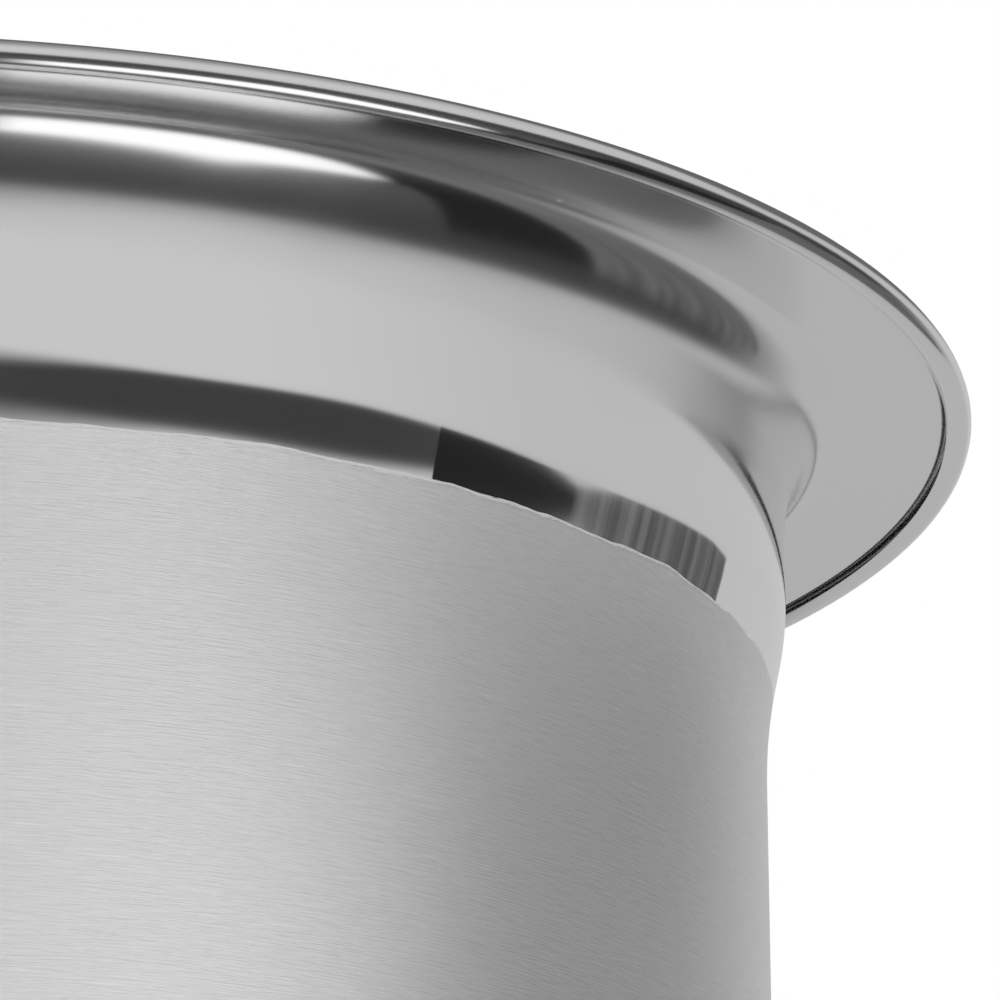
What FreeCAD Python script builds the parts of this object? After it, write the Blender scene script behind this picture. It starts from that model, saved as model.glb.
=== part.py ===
import FreeCAD, Part
import math
import os

# Pedestal stand with a lift-off champagne bucket.
# Millimetres, +Z up, origin on the floor under the column's centre.

# Driving dimensions
TOTAL_HEIGHT = 780.0
BUCKET_HEIGHT = 210.0
RIM_DIAMETER = 230.0
COLLAR_DIAMETER = 193.1
BASE_DIAMETER = 250.0
TUBE_DIAMETER = 25.4
TUBE_WALL = 1.2

# Bucket sheet and its rolled rim
BUCKET_SHEET = 0.7
BEAD_RADIUS = 1.33
CURL_TURN = 275.0
CURL_LEAD_ANGLE = 35.0
CURL_LEAD_RUN = 1.0
CURL_LEAD_RADIUS = 1.5
FLANGE_DROOP_ANGLE = 6.0

# Bucket neck, from the flange down: (radius of the outer skin, turn in degrees)
LIP_FILLET = (3.5, 47.5)
NECK_FILLET = (5.7, 16.5)
NECK_SWEEP = (13.2, 20.8)
FLARE = (31.0, 11.2)
COLLAR_DROP = 16.6
STEP_ANGLE = 12.4
STEP_CREST_RADIUS = 26.5
STEP_RUN = 1.75
STEP_ROOT_RADIUS = 56.0
BODY_TAPER = 0.5
FOOT_CORNER_RADIUS = 12.0
PUNT_RADIUS = 62.0
PUNT_HEIGHT = 6.0
PUNT_BEND = 6.0
PUNT_ANGLE = 45.0

# Seat that carries the bucket
DISH_SHEET = 1.0
DISH_WALL_RADIUS = 95.2
DISH_CORNER_RADIUS = 13.0
DISH_WALL_RUN = 5.0
DISH_LIP_RADIUS = 1.0
DISH_LIP_TURN = 200.0
PAD_THICKNESS = 2.0
PAD_RADIUS = 80.0
PAD_HOLE_RADIUS = 14.0
HUB_HEIGHT = 24.0
HUB_TOP_RADIUS = 42.0
HUB_FOOT_RADIUS = 17.0
HUB_WEB = 6.0

# Column
JOINT_LEVEL = 290.0
KNOP_RADIUS = 18.0
KNOP_HEIGHT = 20.0
KNOP_WEB = 4.0
PLUG_LENGTH = 28.0
FIT = 0.05
THREAD_CLEARANCE = 0.06

# Base
FOOT_HEIGHT = 3.8
COVER_SHEET = 0.8
PLATE_THICKNESS = 2.0
PLATE_RADIUS = 122.5
COVER_TOP = 28.5
COVER_FLAT_RADIUS = 32.0
COVER_DOME_RADIUS = 700.0
COVER_DOME_TURN = 6.0
COVER_EDGE_RADIUS = 9.0
HEM_RADIUS = 1.0
HEM_RUN = 3.0
WEIGHT_RADIUS = 117.0
WEIGHT_RIM_TOP = 17.0
WEIGHT_BOSS_RADIUS = 24.0
WEIGHT_BOSS_TOP = 24.0
ROSETTE_RADIUS = 29.0
ROSETTE_HEIGHT = 17.0
FOOT_CIRCLE_RADIUS = 104.0
FOOT_RADIUS = 11.0
FOOT_COUNT = 4

# Fasteners: (thread radius, head radius, head height)
SEAT_SCREW = (4.0, 8.0, 4.4)
BASE_BOLT = (5.0, 9.8, 6.4)
FOOT_SCREW = (2.0, 3.8, 1.4)

# Levels worked out from the driving dimensions
BEAD_LEVEL = TOTAL_HEIGHT - BEAD_RADIUS
BUCKET_FLOOR = TOTAL_HEIGHT - BUCKET_HEIGHT
DISH_TOP = BUCKET_FLOOR - PAD_THICKNESS
DISH_LEVEL = DISH_TOP - DISH_SHEET
HUB_LEVEL = DISH_LEVEL - HUB_HEIGHT
TUBE_RADIUS = TUBE_DIAMETER / 2
TUBE_BORE = TUBE_RADIUS - TUBE_WALL
PLATE_LEVEL = FOOT_HEIGHT
WEIGHT_LEVEL = PLATE_LEVEL + PLATE_THICKNESS
LOWER_TUBE_LEVEL = WEIGHT_BOSS_TOP
UPPER_TUBE_TOP = DISH_LEVEL - HUB_WEB

AXIS_POINT = FreeCAD.Vector(0, 0, 0)
UP = FreeCAD.Vector(0, 0, 1)


class SheetPath:
    """Half section of bent sheet, followed along one skin.

    Headings are degrees above the outward radial direction. Positive thickness lies to the
    left of the direction of travel, and negative thickness to the right.
    """

    def __init__(self, radius, level, heading, thickness):
        self.radius = radius
        self.level = level
        self.heading = heading
        self.thickness = thickness
        self.skin = []
        self.back = []

    def point(self, offset=0.0, heading=None):
        """Point at a distance to the left of the present place."""
        angle = math.radians(self.heading if heading is None else heading)
        return FreeCAD.Vector(
            self.radius - offset * math.sin(angle), 0, self.level + offset * math.cos(angle)
        )

    def run(self, length):
        """Straight stretch."""
        skin_start = self.point()
        back_start = self.point(self.thickness)
        angle = math.radians(self.heading)
        self.radius += length * math.cos(angle)
        self.level += length * math.sin(angle)
        self.skin.append(Part.makeLine(skin_start, self.point()))
        self.back.append(Part.makeLine(back_start, self.point(self.thickness)))

    def run_to_radius(self, radius):
        """Straight stretch that ends at a radius."""
        self.run((radius - self.radius) / math.cos(math.radians(self.heading)))

    def run_to_level(self, level):
        """Straight stretch that ends at a height."""
        self.run((level - self.level) / math.sin(math.radians(self.heading)))

    def bend(self, radius, degrees):
        """Round stretch. Positive degrees turn left, and radius is that of the followed skin."""
        side = math.copysign(1.0, degrees)
        centre = self.point(side * radius)
        skin_points = [self.point()]
        back_points = [self.point(self.thickness)]
        for share in (0.5, 0.5):
            self.heading += degrees * share
            angle = math.radians(self.heading)
            self.radius = centre.x + side * radius * math.sin(angle)
            self.level = centre.z - side * radius * math.cos(angle)
            skin_points.append(self.point())
            back_points.append(self.point(self.thickness))
        self.skin.append(Part.Arc(*skin_points).toShape())
        self.back.append(Part.Arc(*back_points).toShape())

    def solid(self):
        """Sheet turned about the vertical axis."""
        first = self.skin[0].firstVertex().Point
        first_back = self.back[0].firstVertex().Point
        last_cap = Part.makeLine(self.point(), self.point(self.thickness))
        first_cap = Part.makeLine(first_back, first)
        edges = self.skin + [last_cap] + list(reversed(self.back)) + [first_cap]
        return turned(Part.Wire(edges))


def turned(wire):
    """Solid of revolution about the vertical axis."""
    solid = Part.Face(wire).revolve(AXIS_POINT, UP, 360)
    return Part.Solid(solid.Shells[0]) if solid.ShapeType != "Solid" else solid


def turned_outline(points):
    """Solid of revolution of a straight-sided outline of (radius, height) points."""
    corners = [FreeCAD.Vector(r, 0, z) for r, z in points]
    return turned(Part.makePolygon(corners + corners[:1]))


def pipe(inner, outer, low, high):
    """Plain ring or tube between two heights."""
    ring = Part.makeCylinder(outer, high - low, FreeCAD.Vector(0, 0, low))
    if inner > 0:
        ring = ring.cut(Part.makeCylinder(inner, high - low, FreeCAD.Vector(0, 0, low)))
    return ring


def rod(radius, low, high, x=0.0, y=0.0):
    """Plain cylinder between two heights."""
    return Part.makeCylinder(radius, high - low, FreeCAD.Vector(x, y, low))


def arc_reach(radius, start, end):
    """Radial reach of an arc between two angles from the vertical."""
    return radius * (math.cos(math.radians(start)) - math.cos(math.radians(end)))


def flange_root_radius():
    """Radius where the bucket's straight flange starts."""
    radius = COLLAR_DIAMETER / 2
    turned_so_far = 0.0
    for bend_radius, degrees in (FLARE, NECK_SWEEP, NECK_FILLET, LIP_FILLET):
        radius += arc_reach(bend_radius, turned_so_far, turned_so_far + degrees)
        turned_so_far += degrees
    return radius


def bucket_shell():
    """Drawn bucket: rolled rim, flange, flared collar, conical step, body and punted floor."""
    bead_circle = RIM_DIAMETER / 2 - BEAD_RADIUS
    curl_radius = BEAD_RADIUS - BUCKET_SHEET
    start_angle = 90.0 + CURL_LEAD_ANGLE - CURL_TURN
    path = SheetPath(
        bead_circle + curl_radius * math.cos(math.radians(start_angle)),
        BEAD_LEVEL + curl_radius * math.sin(math.radians(start_angle)),
        start_angle + 90.0,
        -BUCKET_SHEET,
    )
    path.bend(curl_radius, CURL_TURN)
    path.run(CURL_LEAD_RUN)
    path.bend(CURL_LEAD_RADIUS, -FLANGE_DROOP_ANGLE - CURL_LEAD_ANGLE)
    path.run_to_radius(flange_root_radius())
    for bend_radius, degrees in (LIP_FILLET, NECK_FILLET, NECK_SWEEP, FLARE):
        path.bend(bend_radius, degrees)
    path.run_to_level(BEAD_LEVEL - COLLAR_DROP)
    path.bend(STEP_CREST_RADIUS, -STEP_ANGLE)
    path.run(STEP_RUN)
    path.bend(STEP_ROOT_RADIUS, STEP_ANGLE - BODY_TAPER)
    corner_turn = 90.0 - BODY_TAPER
    corner_drop = FOOT_CORNER_RADIUS * (1 - math.cos(math.radians(corner_turn)))
    path.run_to_level(BUCKET_FLOOR + corner_drop)
    path.bend(FOOT_CORNER_RADIUS, -corner_turn)
    bend_rise = PUNT_BEND * (1 - math.cos(math.radians(PUNT_ANGLE)))
    bend_reach = PUNT_BEND * math.sin(math.radians(PUNT_ANGLE))
    ramp = (PUNT_HEIGHT - 2 * bend_rise) / math.sin(math.radians(PUNT_ANGLE))
    ramp_reach = ramp * math.cos(math.radians(PUNT_ANGLE))
    path.run_to_radius(PUNT_RADIUS + 2 * bend_reach + ramp_reach)
    path.bend(PUNT_BEND, -PUNT_ANGLE)
    path.run(ramp)
    path.bend(PUNT_BEND, PUNT_ANGLE)
    path.run_to_radius(0.0)
    return path.solid()


def seat_dish():
    """Spun dish with an upturned wall and a rolled lip, on which the bucket stands."""
    path = SheetPath(SEAT_SCREW[0] + 0.3, DISH_LEVEL, 0.0, DISH_SHEET)
    path.run_to_radius(DISH_WALL_RADIUS - DISH_CORNER_RADIUS)
    path.bend(DISH_CORNER_RADIUS, 90.0)
    path.run(DISH_WALL_RUN)
    path.bend(DISH_LIP_RADIUS, -DISH_LIP_TURN)
    return path.solid()


def seat_pad():
    """Rubber mat in the dish."""
    return pipe(PAD_HOLE_RADIUS, PAD_RADIUS, DISH_TOP, BUCKET_FLOOR)


def dish_washer():
    """Flat washer on the dish floor."""
    return pipe(SEAT_SCREW[0] + 0.3, 9.0, DISH_TOP, DISH_TOP + 1.2)


def dish_screw():
    """Button-head screw with a hexagon socket."""
    thread, head, height = SEAT_SCREW
    low = DISH_TOP + 1.2
    crown = turned_outline(
        [(0, low), (head, low), (head, low + 1.0), (head - 2.4, low + height), (0, low + height)]
    )
    socket = hexagon(2.9, low + height - 2.6, low + height + 1.0)
    return crown.fuse(rod(thread, low - 22.0, low + 0.5)).cut(socket).removeSplitter()


def dish_hub():
    """Turned boss that spreads the column's load under the dish."""
    tube_socket = TUBE_RADIUS + FIT
    bore = SEAT_SCREW[0] + 0.3
    neck_level = HUB_LEVEL + 7.0
    rim_level = DISH_LEVEL - 3.0
    start = FreeCAD.Vector(HUB_FOOT_RADIUS, 0, neck_level)
    end = FreeCAD.Vector(HUB_TOP_RADIUS, 0, rim_level)
    sag = FreeCAD.Vector(HUB_FOOT_RADIUS + 6.2, 0, neck_level + 10.2)
    corners = [
        (HUB_TOP_RADIUS, rim_level),
        (HUB_TOP_RADIUS, DISH_LEVEL),
        (bore, DISH_LEVEL),
        (bore, UPPER_TUBE_TOP),
        (tube_socket, UPPER_TUBE_TOP),
        (tube_socket, HUB_LEVEL),
        (HUB_FOOT_RADIUS - 1.0, HUB_LEVEL),
        (HUB_FOOT_RADIUS, HUB_LEVEL + 1.0),
        (HUB_FOOT_RADIUS, neck_level),
    ]
    points = [FreeCAD.Vector(r, 0, z) for r, z in corners]
    lines = [Part.makeLine(a, b) for a, b in zip(points, points[1:])]
    return turned(Part.Wire([Part.Arc(start, sag, end).toShape()] + lines))


def threaded_plug(thread, low, high):
    """Steel insert held in a tube's end, tapped through."""
    return pipe(thread + THREAD_CLEARANCE, TUBE_BORE - 0.02, low, high)


def hexagon(inner_radius, low, high):
    """Hexagonal prism by its radius across the flats."""
    corner = inner_radius / math.cos(math.radians(30))
    points = [
        FreeCAD.Vector(
            corner * math.cos(math.radians(60 * i)), corner * math.sin(math.radians(60 * i)), low
        )
        for i in range(6)
    ]
    face = Part.Face(Part.makePolygon(points + points[:1]))
    return face.extrude(FreeCAD.Vector(0, 0, high - low))


def tube(low, high):
    """Column tube."""
    return pipe(TUBE_BORE, TUBE_RADIUS, low, high)


def joint_knop():
    """Turned knop that joins the two tubes around a central web."""
    low = JOINT_LEVEL - KNOP_HEIGHT / 2
    high = JOINT_LEVEL + KNOP_HEIGHT / 2
    neck = TUBE_RADIUS + 1.6
    arc = Part.Arc(
        FreeCAD.Vector(neck, 0, low + 2.0),
        FreeCAD.Vector(KNOP_RADIUS, 0, JOINT_LEVEL),
        FreeCAD.Vector(neck, 0, high - 2.0),
    ).toShape()
    socket = TUBE_RADIUS + FIT
    bore = BASE_BOLT[0] + 0.3
    web = KNOP_WEB / 2
    corners = [
        (neck, high - 2.0),
        (neck, high),
        (socket, high),
        (socket, JOINT_LEVEL + web),
        (bore, JOINT_LEVEL + web),
        (bore, JOINT_LEVEL - web),
        (socket, JOINT_LEVEL - web),
        (socket, low),
        (neck, low),
        (neck, low + 2.0),
    ]
    points = [FreeCAD.Vector(r, 0, z) for r, z in corners]
    lines = [Part.makeLine(a, b) for a, b in zip(points, points[1:])]
    return turned(Part.Wire([arc] + lines))


def base_rosette():
    """Flared collar that hides the hole where the column enters the base."""
    bore = TUBE_RADIUS + FIT
    top = COVER_TOP + ROSETTE_HEIGHT
    edge = COVER_TOP + 1.5
    neck = bore + 1.6
    arc = Part.Arc(
        FreeCAD.Vector(ROSETTE_RADIUS, 0, edge),
        FreeCAD.Vector(neck + 3.6, 0, edge + 4.4),
        FreeCAD.Vector(neck, 0, top - 1.0),
    ).toShape()
    corners = [
        (neck, top - 1.0),
        (neck - 0.6, top),
        (bore, top),
        (bore, COVER_TOP),
        (ROSETTE_RADIUS, COVER_TOP),
        (ROSETTE_RADIUS, edge),
    ]
    points = [FreeCAD.Vector(r, 0, z) for r, z in corners]
    lines = [Part.makeLine(a, b) for a, b in zip(points, points[1:])]
    return turned(Part.Wire([arc] + lines))


def base_cover():
    """Spun cover with a shallow dome, a rounded edge and a hem folded under the plate."""
    path = SheetPath(TUBE_RADIUS + 0.6, COVER_TOP, 0.0, -COVER_SHEET)
    path.run_to_radius(COVER_FLAT_RADIUS)
    path.bend(COVER_DOME_RADIUS, -COVER_DOME_TURN)
    edge_turn = 90.0 - COVER_DOME_TURN
    edge_reach = COVER_EDGE_RADIUS * (1 - math.sin(math.radians(COVER_DOME_TURN)))
    path.run_to_radius(BASE_DIAMETER / 2 - edge_reach)
    path.bend(COVER_EDGE_RADIUS, -edge_turn)
    path.run_to_level(PLATE_LEVEL - COVER_SHEET + HEM_RADIUS)
    path.bend(HEM_RADIUS, -90.0)
    path.run(HEM_RUN)
    return path.solid()


def base_weight():
    """Cast disc that keeps the stand upright, with a recess for the bolt's head."""
    recess_top = WEIGHT_LEVEL + 10.0
    weight = turned_outline(
        [
            (BASE_BOLT[0] + 0.5, recess_top),
            (12.0, recess_top),
            (12.0, WEIGHT_LEVEL),
            (WEIGHT_RADIUS, WEIGHT_LEVEL),
            (WEIGHT_RADIUS, WEIGHT_RIM_TOP - 2.0),
            (WEIGHT_RADIUS - 2.0, WEIGHT_RIM_TOP),
            (WEIGHT_BOSS_RADIUS + 4.0, WEIGHT_BOSS_TOP - 1.5),
            (WEIGHT_BOSS_RADIUS, WEIGHT_BOSS_TOP),
            (BASE_BOLT[0] + 0.5, WEIGHT_BOSS_TOP),
        ]
    )
    for x, y in foot_places():
        weight = weight.cut(
            rod(FOOT_SCREW[0] + THREAD_CLEARANCE, WEIGHT_LEVEL - 1.0, WEIGHT_LEVEL + 9.0, x, y)
        )
    return weight


def base_plate():
    """Steel disc that closes the base, held by the cover's hem."""
    plate = pipe(14.0, PLATE_RADIUS, PLATE_LEVEL, PLATE_LEVEL + PLATE_THICKNESS)
    for x, y in foot_places():
        plate = plate.cut(rod(FOOT_SCREW[0] + 0.3, PLATE_LEVEL - 1.0, WEIGHT_LEVEL + 1.0, x, y))
    return plate


def base_fastening():
    """Hexagon bolt, spring washer and flat washer in the weight's recess."""
    thread, head, height = BASE_BOLT
    washer_level = WEIGHT_LEVEL + 8.0
    spring_level = washer_level - 2.4
    washer = pipe(thread + 0.4, 10.5, washer_level, WEIGHT_LEVEL + 10.0)
    split = Part.makeBox(12.0, 1.2, 4.0, FreeCAD.Vector(0, -0.6, spring_level - 0.5))
    spring = pipe(thread + 0.2, 9.0, spring_level, washer_level).cut(split)
    bolt = hexagon(head * math.cos(math.radians(30)), spring_level - height, spring_level)
    bolt = bolt.fuse(rod(thread, spring_level - 0.5, spring_level + 42.0)).removeSplitter()
    return bolt, spring, washer


def foot_places():
    """Centres of the feet on their circle."""
    step = 2 * math.pi / FOOT_COUNT
    angles = [step * (i + 0.5) for i in range(FOOT_COUNT)]
    return [
        (FOOT_CIRCLE_RADIUS * math.cos(a), FOOT_CIRCLE_RADIUS * math.sin(a)) for a in angles
    ]


def rubber_feet():
    """Rubber feet with recessed screw holes."""
    foot = turned_outline(
        [
            (FOOT_SCREW[0] + 0.3, FOOT_HEIGHT),
            (FOOT_SCREW[0] + 0.3, 2.2),
            (FOOT_SCREW[1] + 0.7, 2.2),
            (FOOT_SCREW[1] + 0.7, 0.0),
            (FOOT_RADIUS - 1.2, 0.0),
            (FOOT_RADIUS, FOOT_HEIGHT),
        ]
    )
    return Part.makeCompound([moved(foot, x, y) for x, y in foot_places()])


def foot_screws():
    """Pan-head screws that hold the feet and the plate to the weight."""
    thread, head, height = FOOT_SCREW
    screw = rod(head, 2.2 - height, 2.2).fuse(rod(thread, 2.0, WEIGHT_LEVEL + 7.0))
    screw = screw.removeSplitter()
    return Part.makeCompound([moved(screw, x, y) for x, y in foot_places()])


def moved(shape, x, y):
    """Copy of a shape shifted level with the floor."""
    copy = shape.copy()
    copy.translate(FreeCAD.Vector(x, y, 0))
    return copy


def seat_spring_washer():
    """Split spring washer between the hub and the top plug."""
    ring = pipe(SEAT_SCREW[0] + 0.2, 7.0, UPPER_TUBE_TOP - 2.0, UPPER_TUBE_TOP)
    split = Part.makeBox(9.0, 1.0, 4.0, FreeCAD.Vector(0, -0.5, UPPER_TUBE_TOP - 3.0))
    return ring.cut(split)


def all_parts():
    """Every sub-part by the name of its node."""
    web = KNOP_WEB / 2
    bolt, spring, washer = base_fastening()
    plug_gap = 2.0
    return {
        "bucket_shell": bucket_shell(),
        "seat_dish": seat_dish(),
        "seat_pad": seat_pad(),
        "dish_screw": dish_screw(),
        "dish_washer": dish_washer(),
        "dish_hub": dish_hub(),
        "dish_spring_washer": seat_spring_washer(),
        "top_plug": threaded_plug(
            SEAT_SCREW[0], UPPER_TUBE_TOP - plug_gap - PLUG_LENGTH, UPPER_TUBE_TOP - plug_gap
        ),
        "upper_tube": tube(JOINT_LEVEL + web, UPPER_TUBE_TOP),
        "upper_joint_plug": threaded_plug(
            BASE_BOLT[0], JOINT_LEVEL + web + 1.0, JOINT_LEVEL + web + PLUG_LENGTH
        ),
        "joint_knop": joint_knop(),
        "joint_stud": rod(BASE_BOLT[0], JOINT_LEVEL - 24.0, JOINT_LEVEL + 24.0),
        "lower_joint_plug": threaded_plug(
            BASE_BOLT[0], JOINT_LEVEL - web - PLUG_LENGTH, JOINT_LEVEL - web - 1.0
        ),
        "lower_tube": tube(LOWER_TUBE_LEVEL, JOINT_LEVEL - web),
        "bottom_plug": threaded_plug(
            BASE_BOLT[0], LOWER_TUBE_LEVEL + 1.0, LOWER_TUBE_LEVEL + PLUG_LENGTH
        ),
        "base_rosette": base_rosette(),
        "base_cover": base_cover(),
        "base_weight": base_weight(),
        "base_plate": base_plate(),
        "base_bolt": bolt,
        "base_spring_washer": spring,
        "base_washer": washer,
        "rubber_feet": rubber_feet(),
        "foot_screws": foot_screws(),
    }


os.makedirs("parts", exist_ok=True)
for node, shape in all_parts().items():
    shape.exportStep(f"parts/{node}.step")
    print(node, shape.ShapeType, len(shape.Solids), "valid" if shape.isValid() else "INVALID",
          f"{shape.Volume / 1000:.1f} cm3")
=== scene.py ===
"""Looks of a pedestal champagne bucket stand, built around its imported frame."""

import logging
import math
from collections.abc import Iterable
from dataclasses import dataclass, field
from enum import Enum
from functools import reduce

import bpy
import numpy as np
from mathutils import Matrix, Vector


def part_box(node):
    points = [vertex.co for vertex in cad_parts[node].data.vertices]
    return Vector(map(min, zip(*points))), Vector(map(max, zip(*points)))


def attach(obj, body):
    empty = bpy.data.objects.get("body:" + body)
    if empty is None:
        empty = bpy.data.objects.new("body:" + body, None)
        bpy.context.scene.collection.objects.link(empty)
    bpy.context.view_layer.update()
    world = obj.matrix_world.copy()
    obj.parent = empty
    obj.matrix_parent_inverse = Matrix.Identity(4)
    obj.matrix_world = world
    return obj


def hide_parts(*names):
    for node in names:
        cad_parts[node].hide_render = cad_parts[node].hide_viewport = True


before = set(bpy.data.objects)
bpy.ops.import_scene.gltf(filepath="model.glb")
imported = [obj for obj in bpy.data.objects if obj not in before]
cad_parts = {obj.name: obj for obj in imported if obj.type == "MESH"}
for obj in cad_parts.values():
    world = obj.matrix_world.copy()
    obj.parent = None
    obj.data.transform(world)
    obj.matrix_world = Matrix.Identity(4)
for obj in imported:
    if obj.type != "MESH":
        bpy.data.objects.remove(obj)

LOG = logging.getLogger("stand")
MM = 0.001
UPRIGHT = 90.0

Socket = bpy.types.NodeSocket
Colour = tuple[float, float, float, float]
Triple = tuple[float, float, float]
Pair = tuple[float, float]


class Body(Enum):
    """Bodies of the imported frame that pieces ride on."""

    STAND = "stand"
    BUCKET = "bucket"


class Grain(Enum):
    """Direction in which brushing or turning marks run."""

    ROUND = "round"
    UPRIGHT = "upright"


class Turn(Enum):
    """Divisions of a full turn, by the kind of piece."""

    BOWL = 256
    HUB = 192
    RING = 160
    TUBE = 128
    FOOT = 64


class Wiring:
    """Short calls that place and link the nodes of one tree."""

    def __init__(self, tree: bpy.types.NodeTree) -> None:
        """Starts on an empty tree."""
        self.tree = tree
        tree.nodes.clear()

    def place(self, kind: str, *values: object, **settings: object) -> bpy.types.Node:
        """Adds a node.

        Args:
            kind: Node type without its ShaderNode prefix.
            values: What feeds its first inputs, in order.
            settings: Properties of the node.

        Returns:
            The new node.
        """
        node = self.tree.nodes.new("ShaderNode" + kind)
        for name, setting in settings.items():
            setattr(node, name, setting)
        self.fill(node.inputs, *values)
        return node

    def feed(self, socket: Socket, value: object) -> None:
        """Links a socket to another, or sets its own value.

        Args:
            socket: Input to feed.
            value: Output socket, number or tuple. None leaves the input as it is.
        """
        if isinstance(value, bpy.types.NodeSocket):
            self.tree.links.new(value, socket)
        elif value is not None:
            socket.default_value = value

    def fill(self, sockets: Iterable[Socket], *values: object) -> None:
        """Feeds several sockets in order."""
        for socket, value in zip(sockets, values):
            self.feed(socket, value)

    def supply(self, node: bpy.types.Node, **values: object) -> None:
        """Feeds a node's inputs by name, with _ for a space."""
        for label, value in values.items():
            self.feed(node.inputs[label.replace("_", " ")], value)

    def maths(self, operation: str, *values: object) -> Socket:
        """Result of a Math node with these inputs."""
        return self.place("Math", *values, operation=operation).outputs[0]

    def product(self, *values: object) -> Socket:
        """Product of two or more numbers."""
        return reduce(lambda first, other: self.maths("MULTIPLY", first, other), values)

    def total(self, *values: object) -> Socket:
        """Sum of two or more numbers."""
        return reduce(lambda first, other: self.maths("ADD", first, other), values)

    def blend(self, share: object, low: object, high: object) -> Socket:
        """Blends two numbers.

        Args:
            share: 0 for low and 1 for high.
            low: First number.
            high: Second number.

        Returns:
            The blend.
        """
        node = self.place("Mix", data_type="FLOAT")
        self.fill(node.inputs[:1] + node.inputs[2:4], share, low, high)
        return node.outputs[0]

    def tint(self, share: object, low: object, high: object, mode: str = "MIX") -> Socket:
        """Blends two colours.

        Args:
            share: 0 for low and 1 for high.
            low: First colour.
            high: Second colour.
            mode: Blend mode.

        Returns:
            The blend.
        """
        node = self.place("Mix", data_type="RGBA", blend_type=mode)
        colours = [socket for socket in node.inputs if socket.type == "RGBA"]
        self.fill([node.inputs[0], *colours], share, low, high)
        return next(socket for socket in node.outputs if socket.type == "RGBA")

    def shaded(self, colour: Colour, shade: Socket) -> Socket:
        """Product of a colour and a shade."""
        return self.tint(1.0, colour, shade, "MULTIPLY")

    def ramp(
        self, value: Socket, start: object, end: object,
        low: object = 0.0, high: object = 1.0, smooth: bool = True,
    ) -> Socket:
        """Maps a range of a number onto another.

        Args:
            value: Number to map.
            start: Value that gives low.
            end: Value that gives high.
            low: Output at start.
            high: Output at end.
            smooth: Whether the ends are eased.

        Returns:
            The mapped number.
        """
        kind = "SMOOTHSTEP" if smooth else "LINEAR"
        node = self.place("MapRange", value, start, end, low, high, interpolation_type=kind)
        return node.outputs[0]

    def stretched(self, vector: Socket, scale: Triple) -> Socket:
        """Vector scaled by a factor along each axis."""
        return self.place("VectorMath", vector, scale, operation="MULTIPLY").outputs[0]

    def split(self, vector: Socket) -> list[Socket]:
        """Numbers of a vector along X, Y and Z."""
        return list(self.place("SeparateXYZ", vector).outputs)

    def joined(self, *values: object) -> Socket:
        """Vector of the numbers along X, Y and Z."""
        return self.place("CombineXYZ", *values).outputs[0]

    def from_axis(self, x: Socket, y: Socket) -> Socket:
        """Distance of a place from the upright axis."""
        return self.maths("SQRT", self.total(self.product(x, x), self.product(y, y)))

    def azimuth(self, x: Socket, y: Socket) -> Socket:
        """Degrees around the upright axis from the front, growing to the right."""
        return self.maths("DEGREES", self.maths("ARCTAN2", x, self.product(y, -1.0)))

    def noise(
        self, vector: Socket, scale: object, detail: float = 2.0, roughness: float = 0.5
    ) -> Socket:
        """Adds a noise texture.

        Args:
            vector: Where the noise is read.
            scale: Cells in a unit of the vector.
            detail: Octaves added.
            roughness: Strength of each further octave.

        Returns:
            The noise, about 0.5.
        """
        node = self.place("TexNoise")
        self.supply(node, Vector=vector, Scale=scale, Detail=detail, Roughness=roughness)
        return node.outputs["Fac"]

    def cells(self, vector: Socket, scale: object) -> tuple[Socket, Socket]:
        """Scatters cells, each with a middle and a number of its own.

        Args:
            vector: Where the cells are read.
            scale: Cells in a unit of the vector.

        Returns:
            The distance from the cell's middle, and the cell's number from 0 to 1.
        """
        node = self.place("TexVoronoi")
        self.supply(node, Vector=vector, Scale=scale)
        return node.outputs["Distance"], self.split(node.outputs["Color"])[0]

    def specks(self, vector: Socket, scale: object, size: float, share: float) -> Socket:
        """Scatters small round specks.

        Args:
            vector: Where the specks are read.
            scale: Speck places in a unit of the vector.
            size: Reach of a speck, as a share of its place.
            share: Share of the places that hold one.

        Returns:
            1 in a speck and 0 elsewhere.
        """
        distance, number = self.cells(vector, scale)
        chosen = self.maths("GREATER_THAN", number, 1.0 - share)
        return self.product(self.ramp(distance, size, size * 0.5), chosen)


class EffectGroup:
    """Shader node group that reads a position and some numbers, and gives numbers."""

    def __init__(self, name: str, numbers: dict[str, float], outputs: tuple[str, ...]) -> None:
        """Makes the group's tree and sockets.

        Args:
            name: Name of the group.
            numbers: Defaults of its inputs, after the position.
            outputs: Names of its outputs.
        """
        self.tree = bpy.data.node_groups.new(name, "ShaderNodeTree")
        self.wiring = Wiring(self.tree)
        new_socket = self.tree.interface.new_socket
        new_socket("Position", in_out="INPUT", socket_type="NodeSocketVector")
        for label, default in numbers.items():
            socket = new_socket(label, in_out="INPUT", socket_type="NodeSocketFloat")
            socket.default_value = default
        for label in outputs:
            new_socket(label, in_out="OUTPUT", socket_type="NodeSocketFloat")
        self.given = self.tree.nodes.new("NodeGroupInput").outputs
        self.results = self.tree.nodes.new("NodeGroupOutput").inputs

    def put(self, label: str, value: Socket) -> None:
        """Links a result to one of the group's outputs."""
        self.wiring.feed(self.results[label], value)

    def used_in(self, wiring: Wiring, **values: object) -> dict[str, Socket]:
        """Places the group in a material.

        Args:
            wiring: The material's wiring.
            values: Inputs by name, with _ for a space.

        Returns:
            The group's outputs by name.
        """
        node = wiring.place("Group", node_tree=self.tree)
        wiring.supply(node, **values)
        return {socket.name: socket for socket in node.outputs}


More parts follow.
